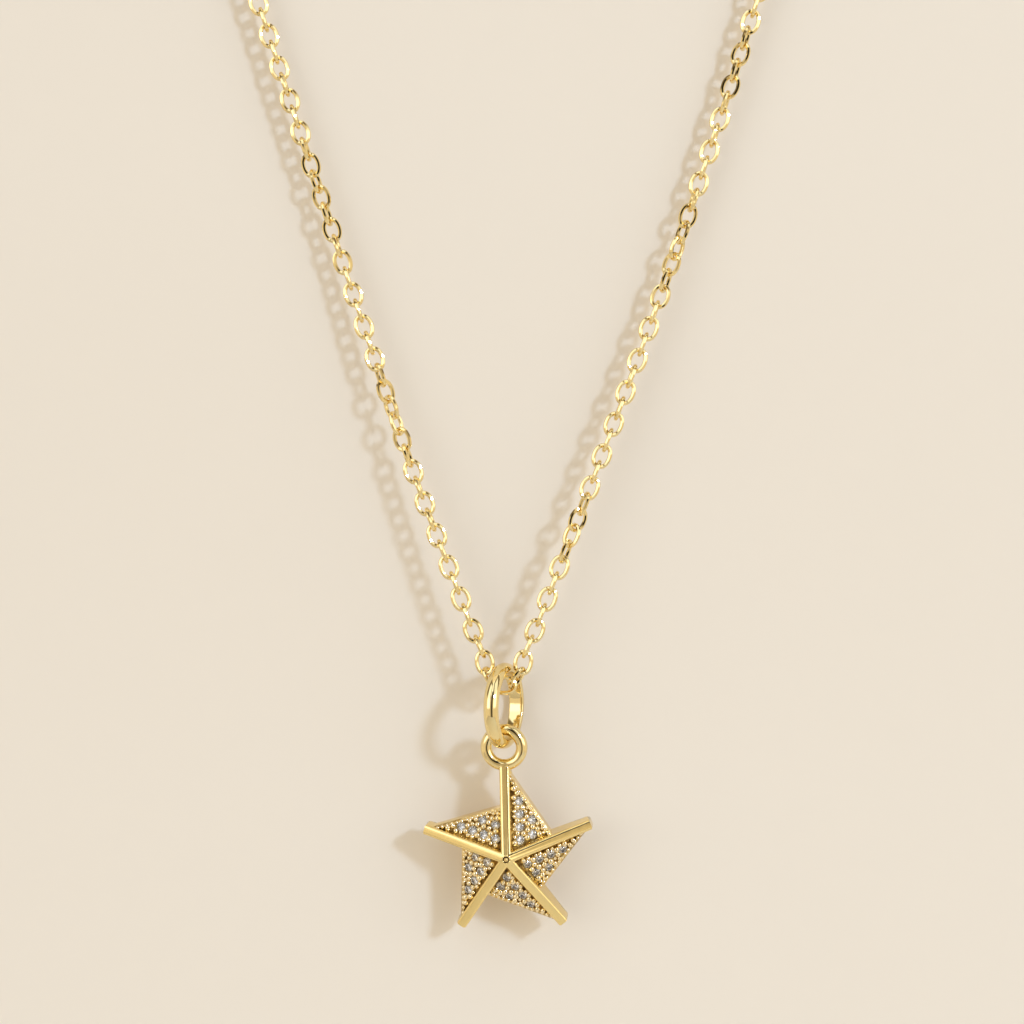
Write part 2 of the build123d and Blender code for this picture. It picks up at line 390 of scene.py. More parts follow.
class GeometryTree(Tree):
    """A Geometry Nodes tree with named size inputs, which sets shapes on points or along curves."""

    sharp_angle = math.pi

    def __init__(self, name: str, material: Material, along_path: bool) -> None:
        """Builds the tree, which ends in Realize Instances and Set Material.

        Args:
            name: the tree's name.
            material: finish of all that it makes.
            along_path: whether the shapes follow curves, and not points.
        """
        super().__init__(bpy.data.node_groups.new(name, "GeometryNodeTree"))
        for way in ("INPUT", "OUTPUT"):
            self.tree.interface.new_socket("Geometry", in_out=way, socket_type="NodeSocketGeometry")
        self.source = self.add("NodeGroupInput")
        self.identifiers: dict[str, str] = {}
        real = self.add("GeometryNodeRealizeInstances", {"Geometry": self.shapes(along_path)})
        smooth = self.add("GeometryNodeSetShadeSmooth", {"Geometry": real})
        sharp = self.math("GREATER_THAN", self.add("GeometryNodeInputMeshEdgeAngle"), self.sharp_angle)
        edged = self.add("GeometryNodeSetShadeSmooth", {
            "Geometry": smooth, "Selection": sharp, "Shade Smooth": False,
        }, domain="EDGE")
        dressed = self.add("GeometryNodeSetMaterial", {"Geometry": edged, "Material": material})
        self.add("NodeGroupOutput", {0: dressed})

    def shapes(self, along_path: bool) -> Output:
        """Instances of the shape, on the points or along the curves that come in."""
        raise NotImplementedError

    def sizes(self, *names: str, kind: str = "NodeSocketFloat") -> list[NodeSocket]:
        """Adds named inputs.

        Args:
            names: the inputs' names.
            kind: the sockets' type.

        Returns:
            The sockets inside the tree.
        """
        for name in names:
            socket = self.tree.interface.new_socket(name, in_out="INPUT", socket_type=kind)
            self.identifiers[name] = socket.identifier
        return [self.source.outputs[name] for name in names]

    def counts(self, *names: str) -> list[NodeSocket]:
        """Adds named inputs that hold whole numbers."""
        return self.sizes(*names, kind="NodeSocketInt")

    def carried(self, name: str, kind: str) -> Output:
        """Value that the points carry under a name."""
        return self.add("GeometryNodeInputNamedAttribute", {"Name": name}, data_type=kind)

    def wobble(self, low: Output, high: Output, seed: Output) -> Output:
        """Random number between two limits, one for each point."""
        values = {2: low, 3: high, "Seed": seed}
        return self.add("FunctionNodeRandomValue", values, data_type="FLOAT").outputs[1]

    def run(self, source: Object, name: str, **values: object) -> Object:
        """Runs the tree on an object and keeps the result as a plain mesh.

        Args:
            source: the object that gives the points or the path.
            name: name of the result.
            values: each input's value, by its name with underscores.

        Returns:
            The plain mesh object.
        """
        modifier = source.modifiers.new(name, "NODES")
        modifier.node_group = self.tree
        for key, value in values.items():
            modifier[self.identifiers[key.replace("_", " ")]] = value
        return plain_mesh(source, name)


@dataclass(frozen=True)
class LinkShape:
    """One oval link of round wire with cut facets along it, under the names of the link tree's inputs."""

    link_length: float = 2.12 * MM
    link_width: float = 1.60 * MM
    wire: float = 0.345 * MM
    fullness: float = 0.10
    roll_spread: float = math.radians(5.0)
    steps: int = 32
    sides: int = 8
    seed: int = 3


class LinkTree(GeometryTree):
    """Sets oval links on points that carry a turn, or along a path with a quarter turn from link to link."""

    sharp_angle = math.radians(35.0)

    def shapes(self, along_path: bool) -> Output:
        """Instances of the link.

        Args:
            along_path: whether they follow a curve, and not points.

        Returns:
            The links.
        """
        *oval_sizes, spread = self.sizes("link length", "link width", "wire", "fullness", "roll spread")
        steps, sides, seed = self.counts("steps", "sides", "seed")
        link = self.oval(*oval_sizes, steps, sides)
        wobble = self.wobble(self.math("MULTIPLY", spread, -1.0), spread, seed)
        if along_path:
            count, first = self.counts("count") + self.sizes("first roll")
            path = self.add("GeometryNodeResampleCurve", {"Curve": self.source, "Count": count})
            index = self.add("GeometryNodeInputIndex")
            tangent = self.add("GeometryNodeInputTangent")
            turn = self.add("FunctionNodeAxesToRotation", {0: tangent, 1: (0.0, 1.0, 0.0)},
                            primary_axis="X", secondary_axis="Z")
            quarter = self.math("MULTIPLY_ADD", index, math.pi / 2, first)
            roll = self.math("ADD", quarter, wobble)
        else:
            path = self.source
            turn = self.carried("turn", "QUATERNION")
            roll = wobble
        euler = self.add("ShaderNodeCombineXYZ", {"X": roll})
        local = self.add("FunctionNodeEulerToRotation", {0: euler})
        turned = self.add("FunctionNodeRotateRotation", {0: turn, 1: local}, rotation_space="LOCAL")
        values = {"Points": path, "Instance": link, "Rotation": turned}
        return self.add("GeometryNodeInstanceOnPoints", values)

    def circle(self, corners: Output, radius: float | Output) -> Output:
        """Circle curve of so many corners."""
        values = {"Resolution": corners, "Radius": radius}
        return self.add("GeometryNodeCurvePrimitiveCircle", values)

    def oval(self, length: Output, width: Output, wire: Output, fullness: Output,
             steps: Output, sides: Output) -> Output:
        """Round wire bent to an oval, long along X, fuller at its shoulders than an ellipse.

        Args:
            length: outer length.
            width: outer width.
            wire: wire diameter.
            fullness: how far the shoulders stand out of an ellipse.
            steps: corners along the oval.
            sides: corners round the wire.

        Returns:
            The link's mesh.
        """
        place = self.add("GeometryNodeInputPosition")
        split = self.add("ShaderNodeSeparateXYZ", {0: place})
        across = split.outputs["Y"]
        bulge = self.math("MULTIPLY_ADD", self.math("MULTIPLY", across, across), fullness, 1.0)
        half_length = self.math("MULTIPLY", self.math("SUBTRACT", length, wire), 0.5)
        half_width = self.math("MULTIPLY", self.math("SUBTRACT", width, wire), 0.5)
        along = self.math("MULTIPLY", self.math("MULTIPLY", split.outputs["X"], bulge), half_length)
        moved = self.add("ShaderNodeCombineXYZ", {"X": along, "Y": self.math("MULTIPLY", across, half_width)})
        oval = self.add("GeometryNodeSetPosition", {"Geometry": self.circle(steps, 1.0), "Position": moved})
        section = self.circle(sides, self.math("MULTIPLY", wire, 0.5))
        return self.add("GeometryNodeCurveToMesh", {"Curve": oval, "Profile Curve": section})


def rows_of_three(items: bpy.types.bpy_prop_collection, name: str, kind: type = float) -> np.ndarray:
    """Reads a property of three numbers from all vertices or faces of a mesh.

    Args:
        items: the vertices, triangles or faces.
        name: the property's name.
        kind: type of its numbers.

    Returns:
        One row for each item.
    """
    values = np.empty(len(items) * 3, kind)
    items.foreach_get(name, values)
    return values.reshape(-1, 3)


def loose_groups(node: Object) -> list[np.ndarray]:
    """Corners of each loose solid of a CAD node.

    Args:
        node: the CAD node's object.

    Returns:
        One array of points for each loose solid.
    """
    mesh = node.data
    points = rows_of_three(mesh.vertices, "co")
    mesh.calc_loop_triangles()
    triangles = rows_of_three(mesh.loop_triangles, "vertices", int)
    weld = 1e-7
    _, merged = np.unique(np.round(points / weld).astype(np.int64), axis=0, return_inverse=True)
    merged = merged.ravel()
    triangles = merged[triangles]
    label = np.arange(triangles.max() + 1)
    while True:
        lowest = label[triangles].min(axis=1)
        before = label.copy()
        for column in triangles.T:
            np.minimum.at(label, column, lowest)
        label = label[label]
        if np.array_equal(label, before):
            break
    of_point = label[merged]
    return [points[of_point == value] for value in np.unique(of_point)]


@dataclass(frozen=True)
class LinkPlace:
    """Where one CAD link lies: its centre and its own axes, long way first."""

    centre: Vector
    turn: Matrix


def link_places(node: Object) -> list[LinkPlace]:
    """Reads each link's place from the CAD chain.

    Args:
        node: the CAD node that holds the links.

    Returns:
        A place for each link.
    """
    places = []
    for points in loose_groups(node):
        centre = points.mean(axis=0)
        _, _, axes = np.linalg.svd(points - centre, full_matrices=False)
        if axes[0][2] < 0:
            axes[0] = -axes[0]
        axes[2] = np.cross(axes[0], axes[1])
        span = (points - centre) @ axes.T
        centre = centre + ((span.max(axis=0) + span.min(axis=0)) / 2) @ axes
        places.append(LinkPlace(Vector(centre), Matrix(axes.T.tolist())))
    return places


@dataclass
class FrontChain:
    """The strands that show, link by link where the CAD links lie."""

    shape: LinkShape = LinkShape()

    def build(self, node: Object, material: Material) -> tuple[Object, list[LinkPlace]]:
        """Makes the links.

        Args:
            node: the CAD node that holds the links.
            material: finish of the links.

        Returns:
            The chain as one mesh, and the places of its links.
        """
        places = link_places(node)
        points = mesh_object("front_points", np.array([place.centre for place in places]), [])
        turns = points.data.attributes.new("turn", "QUATERNION", "POINT")
        values = [part for place in places for part in place.turn.to_quaternion()]
        turns.data.foreach_set("value", values)
        tree = LinkTree("links_on_points", material, along_path=False)
        chain = tree.run(points, "front_links", **asdict(self.shape))
        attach(chain, "root")
        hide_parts("chain_front")
        return chain, places


# Right side of the hidden stretch, in mm: distance from the middle, rise above the lowest link's centre
HIDDEN_ROUTE = (
    (29.2, 85.0), (35.6, 111.5), (39.6, 136.5), (40.9, 157.0),
    (37.6, 175.5), (27.6, 189.5), (13.4, 196.6),
)


@dataclass
class HiddenChain:
    """The stretch behind the neck, real links in place of the CAD tubes."""

    shape: LinkShape = LinkShape(steps=24, seed=5)
    pitch: float = 1.36 * MM
    eyelet_wire: float = 0.5 * MM
    edge_on_share: float = 0.5
    curve_steps: int = 24

    def build(self, places: list[LinkPlace], material: Material) -> Object:
        """Makes both sides of the hidden stretch.

        Args:
            places: places of the front links.
            material: finish of the links.

        Returns:
            The links as one mesh.
        """
        lowest = min(places, key=lambda place: place.centre.z).centre
        clasp_low, clasp_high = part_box("clasp")
        end_x = clasp_high.x - self.eyelet_wire - self.shape.wire / 2
        end_x += (self.shape.link_length - self.shape.wire) / 2
        pieces = []
        for side in (-1, 1):
            strand = [place for place in places if place.centre.x * side > 0]
            last = max(strand, key=lambda place: place.centre.z)
            points = [last.centre + last.turn.col[0] * self.pitch]
            points += [Vector((side * x * MM, 0.0, lowest.z + rise * MM)) for x, rise in HIDDEN_ROUTE]
            points.append(Vector((side * end_x, 0.0, (clasp_low.z + clasp_high.z) / 2)))
            pieces.append(self.side(points, last, material))
        chain = joined(pieces, "hidden_links")
        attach(chain, "root")
        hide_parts("chain_back")
        return chain

    def side(self, points: list[Vector], last: LinkPlace, material: Material) -> Object:
        """Makes the links of one side.

        Args:
            points: the route from the first hidden link to the clasp.
            last: place of the last front link.
            material: finish of the links.

        Returns:
            The links of that side.
        """
        curve = bpy.data.curves.new("hidden_route", "CURVE")
        curve.dimensions = "3D"
        spline = curve.splines.new("NURBS")
        spline.points.add(len(points) - 1)
        for corner, point in zip(spline.points, points):
            corner.co = (*point, 1.0)
        spline.order_u = 3
        spline.use_endpoint_u = True
        spline.resolution_u = self.curve_steps
        route = new_object("hidden_route", curve)
        steps = round(spline.calc_length() / self.pitch)
        steps += steps % 2
        first_edge_on = abs(last.turn.col[2].y) > self.edge_on_share
        tree = LinkTree("links_on_path", material, along_path=True)
        first_roll = math.pi / 2 if first_edge_on else 0.0
        return tree.run(route, "hidden_side", count=steps + 1, first_roll=first_roll, **asdict(self.shape))


@dataclass
class Bail:
    """Round band that hangs on the lowest link, flat inside and domed outside."""

    inner_radius: float = 2.70 * MM
    thickness: float = 0.75 * MM
    width: float = 1.20 * MM
    dome_edge: float = 0.30 * MM
    inner_round: float = 0.12 * MM
    yaw: float = math.radians(20.5)
    turns: int = 144
    dome_steps: int = 22
    corner_steps: int = 4
    sharp_angle: float = math.radians(40.0)

    def outline(self) -> list[tuple[float, float]]:
        """Section of the band as places along the axis and distances from it.

        Returns:
            The points of the closed outline.
        """
        half = self.width / 2
        flat = half - self.inner_round
        low = self.inner_radius + self.inner_round
        sagitta = self.thickness - self.dome_edge
        radius = (half * half + sagitta * sagitta) / (2 * sagitta)
        middle = self.inner_radius + self.thickness - radius
        reach = math.asin(half / radius)
        side = []
        for step in range(self.corner_steps + 1):
            turn = math.pi / 2 * step / self.corner_steps
            side.append((flat + self.inner_round * math.sin(turn), low - self.inner_round * math.cos(turn)))
        dome = []
        for step in range(self.dome_steps + 1):
            turn = reach * (1 - 2 * step / self.dome_steps)
            dome.append((radius * math.sin(turn), middle + radius * math.cos(turn)))
        return side + dome + [(-across, away) for across, away in reversed(side)]

    def build(self, material: Material) -> Object:
        """Turns the outline about the bail's axis.

        Args:
            material: its finish.

        Returns:
            The band.
        """
        low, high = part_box("bail")
        place = Matrix.Translation((low + high) / 2) @ Matrix.Rotation(-self.yaw, 4, "Z")
        outline = self.outline()
        points = []
        for turn in range(self.turns):
            angle = 2 * math.pi * turn / self.turns
            cosine = math.cos(angle)
            sine = math.sin(angle)
            points += [place @ Vector((x, away * cosine, away * sine)) for x, away in outline]
        faces = []
        count = len(outline)
        for turn in range(self.turns):
            following = (turn + 1) % self.turns
            for corner in range(count):
                after = (corner + 1) % count
                faces.append((turn * count + corner, following * count + corner,
                              following * count + after, turn * count + after))
        band = mesh_object("bail_band", np.array(points), faces)
        point_outwards(band)
        band.data.set_sharp_from_angle(angle=self.sharp_angle)
        band.data.materials.append(material)
        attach(band, "bail")
        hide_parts("bail")
        return band


def point_outwards(piece: Object) -> None:
    """Turns all faces of a closed mesh outwards.

    Args:
        piece: the mesh object.
    """
    work = bmesh.new()
    work.from_mesh(piece.data)
    bmesh.ops.recalc_face_normals(work, faces=work.faces)
    work.to_mesh(piece.data)
    work.free()


@dataclass(frozen=True)
class StarForm:
    """Sizes of the star in its own plan: back at Z = 0, hub at the middle, top arm along Y."""

    tip_radius: float = 7.05 * MM
    corner_radius: float = 3.88 * MM
    hub_height: float = 3.35 * MM
    tip_height: float = 1.35 * MM
    corner_height: float = 1.00 * MM
    panel_drop: float = 0.30 * MM
    bar_width: float = 0.98 * MM
    rim_width: float = 0.24 * MM
    rim_rise: float = 0.12 * MM
    ring_hole: float = 1.92 * MM
    ring_wire: float = 0.93 * MM
    ring_height: float = 0.62 * MM
    yaw: float = math.radians(5.5)
    tilt: float = math.radians(3.0)
    roll: float = math.radians(2.6)

    @property
    def step(self) -> float:
        """Turn from arm to arm, in radians."""
        return 2 * math.pi / len(ARMS)

    @property
    def ring_offset(self) -> float:
        """Distance from the hub to the ring's centre."""
        return self.tip_radius + (self.ring_hole + self.ring_wire) / 2

    @property
    def corner(self) -> tuple[float, float]:
        """Plan point where a panel's outer edge meets the next bar, in the arm's own plan."""
        return self.corner_radius * math.sin(self.step), self.corner_radius * math.cos(self.step)

    def height(self, x: float | np.ndarray, y: float | np.ndarray) -> float | np.ndarray:
        """Height of a panel's face above the flat back.

        Args:
            x: distance clockwise from the bar's middle line, in plan.
            y: distance from the hub along the bar, in plan.

        Returns:
            The height.
        """
        corner_x, corner_y = self.corner
        hub = self.hub_height - self.panel_drop
        along = (self.tip_height - self.hub_height) / self.tip_radius
        across = (self.corner_height - hub - along * corner_y) / corner_x
        return hub + along * y + across * x

    def panel(self, index: int) -> Matrix:
        """Frame on an arm's panel: hub as its origin, X away from the bar, Y along it, Z out of the face.

        Args:
            index: number of the arm, clockwise from the top.

        Returns:
            The frame in the star's plan.
        """
        corner_x, corner_y = self.corner
        origin = Vector((0.0, 0.0, self.height(0.0, 0.0)))
        along = (Vector((0.0, self.tip_radius, self.height(0.0, self.tip_radius))) - origin).normalized()
        to_corner = Vector((corner_x, corner_y, self.height(corner_x, corner_y))) - origin
        normal = to_corner.cross(along).normalized()
        frame = Matrix((along.cross(normal), along, normal)).transposed().to_4x4()
        frame.translation = origin
        return Matrix.Rotation(-index * self.step, 4, "Z") @ frame

    def place(self, ring_centre: Vector) -> Matrix:
        """Where the star hangs.

        Args:
            ring_centre: centre of its ring.

        Returns:
            The turn and shift from the star's plan to the frame.
        """
        hang = Matrix.Translation(ring_centre) @ Matrix.Rotation(-self.yaw, 4, "Z")
        hang = hang @ Matrix.Rotation(self.tilt, 4, "X") @ Matrix.Rotation(-self.roll, 4, "Y")
        stand = Matrix.Rotation(math.pi / 2, 4, "X")
        return hang @ stand @ Matrix.Translation((0.0, -self.ring_offset, -self.ring_height))


def merged_copy(node: Object, name: str) -> Object:
    """Copies a CAD node's mesh and joins its loose triangles.

    Args:
        node: the CAD node.
        name: the copy's name.

    Returns:
        The new object.
    """
    mesh = node.data.copy()
    mesh.name = name
    mesh.materials.clear()
    work = bmesh.new()
    work.from_mesh(mesh)
    bmesh.ops.remove_doubles(work, verts=work.verts, dist=WELD)
    work.to_mesh(mesh)
    work.free()
    return new_object(name, mesh)


class StarPart(IntEnum):
    """Parts of the cast star that differ in finish. The back goes with the bars."""

    BARS = 0
    BED = 1
    RING = 2
    RIM = 3


@dataclass
class StarCast:
    """The cast star with its ring: satin bars, dark panel beds and rims, polished ring, plain back. The beds'
    dark tones are partly painted shade.
    """

    form: StarForm
    place: Matrix
    dimple_radius: float = 0.27 * MM
    dimple_rim: float = 1.02
    ball_share: float = 0.9
    least_upward: float = 0.3
    bed_tolerance: float = 0.02 * MM
    sharp_angle: float = math.radians(30.0)

    def build(self, node: Object, finishes: dict[StarPart, Material]) -> Object:
        """Copies the CAD star and gives each part of it its finish.

        Args:
            node: the CAD node of the star.
            finishes: the finish of each part, of which the hub's dimple takes the bed's, as painted shade in
                the hollow, and the ball in it the rim's.

        Returns:
            The star.
        """
        star = merged_copy(node, "cast_star")
        mesh = star.data
        for part in StarPart:
            mesh.materials.append(finishes[part])
        mesh.shade_smooth()
        mesh.set_sharp_from_angle(angle=self.sharp_angle)
        mesh.polygons.foreach_set("material_index", self.parts(mesh))
        even = star.modifiers.new("even normals", "WEIGHTED_NORMAL")
        even.keep_sharp = True
        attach(star, "star")
        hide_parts("star_setting")
        return star

    def parts(self, mesh: Mesh) -> np.ndarray:
        """Part of the star that each face belongs to.

        Args:
            mesh: the star's mesh.

        Returns:
            The part's number for each face.
        """
        back = np.array(self.place.inverted())
        centres = rows_of_three(mesh.polygons, "center") @ back[:3, :3].T + back[:3, 3]
        normals = rows_of_three(mesh.polygons, "normal") @ back[:3, :3].T
        numbers = np.full(len(centres), int(StarPart.BARS))
        upward = normals[:, 2] > self.least_upward
        form = self.form
        for index in range(len(ARMS)):
            turn = index * form.step
            x = centres[:, 0] * math.cos(turn) - centres[:, 1] * math.sin(turn)
            y = centres[:, 0] * math.sin(turn) + centres[:, 1] * math.cos(turn)
            corner_x, corner_y = form.corner
            inside = (x > 0) & (x * corner_y < y * corner_x)
            rise = centres[:, 2] - form.height(x, y)
            numbers[inside & upward & (rise < self.bed_tolerance)] = StarPart.BED
            from_edge = (form.tip_radius - y) * corner_x - x * (form.tip_radius - corner_y)
            from_edge /= math.hypot(corner_x, form.tip_radius - corner_y)
            on_rim = (abs(rise - form.rim_rise) < self.bed_tolerance) & (from_edge < form.rim_width)
            numbers[inside & upward & on_rim] = StarPart.RIM
        away = np.hypot(centres[:, 0], centres[:, 1] - form.ring_offset)
        numbers[away < form.ring_hole / 2 + form.ring_wire + self.bed_tolerance] = StarPart.RING
        from_hub = np.linalg.norm(centres - np.array((0.0, 0.0, form.hub_height)), axis=1)
        in_dimple = (from_hub < self.dimple_radius * self.dimple_rim) & (centres[:, 2] < form.hub_height)
        # The dimple takes the bed's dark finish: painted shade in the hollow
        numbers[in_dimple] = StarPart.BED
        numbers[from_hub < self.dimple_radius * self.ball_share] = StarPart.RIM
        return numbers


@dataclass(frozen=True)
class BeadShape:
    """One round bead, under the names of the bead tree's inputs."""

    sides: int
    rings: int
    seed: int
    size_spread: float = 0.12


class BeadTree(GeometryTree):
    """Sets round beads on points that carry a size, or at even steps along curves."""

    def shapes(self, along_path: bool) -> Output:
        """Instances of the bead.

        Args:
            along_path: whether they follow curves, and not points.

        Returns:
            The beads.
        """
        sides, rings, seed = self.counts("sides", "rings", "seed")
        spread = self.sizes("size spread")[0]
        ball = self.add("GeometryNodeMeshUVSphere", {"Segments": sides, "Rings": rings, "Radius": 1.0})
        if along_path:
            spacing, radius = self.sizes("spacing", "bead radius")
            values = {"Curve": self.source, "Length": spacing}
            path = self.add("GeometryNodeResampleCurve", values, mode="LENGTH")
        else:
            path = self.source
            radius = self.carried("size", "FLOAT")
        wobble = self.wobble(self.math("SUBTRACT", 1.0, spread), self.math("ADD", 1.0, spread), seed)
        scale = self.math("MULTIPLY", radius, wobble)
        scales = self.add("ShaderNodeCombineXYZ", {0: scale, 1: scale, 2: scale})
        return self.add("GeometryNodeInstanceOnPoints", {"Points": path, "Instance": ball, "Scale": scales})


@dataclass
class Pave:
    """The round grains that hold the stones, and the milgrain along the rims."""

    form: StarForm
    place: Matrix
    stone_radius: float = 0.37 * MM
    grain_radius: float = 0.24 * MM
    small_radius: float = 0.18 * MM
    squeeze: float = 0.89
    search_step: float = 0.04 * MM
    search_reach: float = 1.1
    search_digits: int = 9
    grain_lift: float = 0.03 * MM
    mill_radius: float = 0.165 * MM
    mill_spacing: float = 0.39 * MM
    mill_lift: float = 0.11 * MM
    mill_inset: float = 0.20 * MM
    mill_start: float = 1.1
    grain_shape: BeadShape = BeadShape(sides=12, rings=7, seed=11)
    mill_shape: BeadShape = BeadShape(sides=8, rings=5, seed=12)

    def stones(self, index: int, node: Object) -> np.ndarray:
        """Distances of an arm's stones across and along its panel, one row a stone."""
        back = (self.place @ self.form.panel(index)).inverted()
        return np.array([(back @ Vector(points.mean(axis=0)))[:2] for points in loose_groups(node)])

    def room(self, across: np.ndarray, along: np.ndarray) -> np.ndarray:
        """Distance of places on the panel from the nearest of its three walls.

        Args:
            across: distances from the bar's middle line.
            along: distances from the hub.

        Returns:
            The distances, negative outside the panel.
        """
        flat = self.form.panel(0).inverted()
        corner_x, corner_y = self.form.corner
        corner = flat @ Vector((corner_x, corner_y, self.form.height(corner_x, corner_y)))
        tip = flat @ Vector((0.0, self.form.tip_radius, self.form.height(0.0, self.form.tip_radius)))
        wall = np.array(corner.xy.normalized())
        edge = np.array((corner - tip).xy.normalized())
        from_bar = across - self.form.bar_width / 2
        from_next = along * wall[0] - across * wall[1] - self.form.bar_width / 2
        from_rim = across * edge[1] + (tip.y - along) * edge[0] - self.form.rim_width
        return np.minimum(np.minimum(from_bar, from_next), from_rim)

    def grains(self, stones: np.ndarray) -> list[tuple[float, float, float]]:
        """Packs grains round the stones, the ones between two stones first, then small ones in what is left.

        Args:
            stones: places of the stones on the panel.

        Returns:
            Distance across, distance along and radius of each grain.
        """
        across, along = np.meshgrid(np.arange(0, self.form.tip_radius, self.search_step),
                                    np.arange(0, self.form.tip_radius * self.search_reach, self.search_step))
        spots = np.column_stack((across.ravel(), along.ravel()))
        spots = spots[self.room(spots[:, 0], spots[:, 1]) > self.small_radius * self.squeeze]
        room = self.room(spots[:, 0], spots[:, 1])
        away = np.sort(np.linalg.norm(spots[:, None] - stones[None], axis=2), axis=1)
        order = np.argsort(np.round(away[:, 0] + away[:, 1], self.search_digits), kind="stable")
        found: list[tuple[float, float, float]] = []
        for radius in (self.grain_radius, self.small_radius):
            off_stones = away[:, 0] > (self.stone_radius + radius) * self.squeeze
            clear = off_stones & (room > radius * self.squeeze)
            for number in order[clear[order]]:
                x, y = spots[number]
                if all(math.hypot(x - a, y - b) > (radius + other) * self.squeeze for a, b, other in found):
                    found.append((x, y, radius))
        return found

    def build(self, nodes: dict, material: Material) -> tuple[Object, Object]:
        """Makes the grains and the milgrain.

        Args:
            nodes: the CAD nodes by name.
            material: finish of grains and milgrain.

        Returns:
            The grains and the milgrain.
        """
        points = []
        sizes = []
        for index, arm in enumerate(ARMS):
            frame = self.place @ self.form.panel(index)
            for across, along, radius in self.grains(self.stones(index, nodes[f"stones_{arm}"])):
                points.append(frame @ Vector((across, along, self.grain_lift)))
                sizes.append(radius)
        spots = mesh_object("grain_points", np.array(points), [])
        spots.data.attributes.new("size", "FLOAT", "POINT").data.foreach_set("value", sizes)
        grains = BeadTree("beads_on_points", material, along_path=False).run(
            spots, "grains", **asdict(self.grain_shape))
        milgrain = BeadTree("beads_on_paths", material, along_path=True).run(
            self.rim_lines(), "milgrain", spacing=self.mill_spacing, bead_radius=self.mill_radius,
            **asdict(self.mill_shape))
        for piece in (grains, milgrain):
            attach(piece, "star")
        return grains, milgrain

    def rim_lines(self) -> Object:
        """Draws the line of the milgrain along the inner edge of each rim.

        Returns:
            One curve with a spline for each arm.
        """
        curve = bpy.data.curves.new("rim_lines", "CURVE")
        curve.dimensions = "3D"
        corner_x, corner_y = self.form.corner
        edge = Vector((corner_x, corner_y - self.form.tip_radius)).normalized()
        inward = Vector((edge.y, -edge.x)) * self.mill_inset
        tip = Vector((0.0, self.form.tip_radius)) + inward + edge * (self.form.bar_width * self.mill_start)
        end = Vector((corner_x, corner_y)) + inward - edge * self.form.bar_width / 2
        for index in range(len(ARMS)):
            turn = self.place @ Matrix.Rotation(-index * self.form.step, 4, "Z")
            spline = curve.splines.new("POLY")
            spline.points.add(1)
            for point, plan in zip(spline.points, (tip, end)):
                point.co = (*(turn @ Vector((*plan, self.form.height(*plan) + self.mill_lift))), 1.0)
        return new_object("rim_lines", curve)


def dress_node(node: Object, material: Material, smooth_angle: float) -> None:
    """Gives a CAD node its finish and smooth shading over its gentle edges.

    Args:
        node: the CAD node's object.
        material: its finish.
        smooth_angle: edges sharper than this stay sharp, in radians.
    """
    node.data.materials.clear()
    node.data.materials.append(material)
    weld = node.modifiers.new("weld", "WELD")
    weld.merge_threshold = WELD
    node.data.shade_smooth()
    split = node.modifiers.new("sharp edges", "EDGE_SPLIT")
    split.split_angle = smooth_angle


@dataclass
class Viewpoint:
    """The camera, straight on at the middle of the photograph."""

    image_side: int = 1024
    millimetres_a_pixel: float = 0.08
    distance: float = 150.0 * MM
    centre_x: float = 0.64 * MM
    centre_z: float = -181.15 * MM
    sensor: float = 36.0
    nearest: float = 1.0 * MM
    farthest: float = 10.0

    def build(self) -> None:
        """Makes the camera and gives it to the scene."""
        data = bpy.data.cameras.new("camera")
        data.sensor_width = self.sensor
        data.lens = self.sensor * self.distance / (self.image_side * self.millimetres_a_pixel * MM)
        data.clip_start = self.nearest
        data.clip_end = self.farthest
        camera = new_object("camera", data)
        camera.location = (self.centre_x, -self.distance, self.centre_z)
        camera.rotation_euler = (math.radians(90.0), 0.0, 0.0)
        bpy.context.scene.camera = camera


@dataclass(frozen=True)
class SoftBox:
    """A bright or dark field of the studio, by its direction from the pendant in degrees."""

    azimuth: float
    lift: float
    half_width: float
    half_height: float
    brightness: float
    softness: float = 6.0
    colour: Colour = Colour.SOFT_BOX

    def share(self, tree: Tree, azimuth: Output, lift: Output) -> Output:
        """Share of the field at a direction, which falls off softly past its edges.

        Args:
            tree: the world's tree.
            azimuth: the ray's azimuth in degrees.
            lift: the ray's lift in degrees.

        Returns:
            One inside the field, nought outside.
        """
        parts = []
        for angle, middle, half in (
                (azimuth, self.azimuth, self.half_width), (lift, self.lift, self.half_height)):
            away = tree.math("ABSOLUTE", tree.math("SUBTRACT", angle, middle))
            parts.append(tree.add("ShaderNodeMapRange", {
                "Value": away, "From Min": half - self.softness, "From Max": half + self.softness,
                "To Min": 1.0, "To Max": 0.0,
            }, interpolation_type="SMOOTHSTEP"))
        return tree.math("MULTIPLY", *parts)


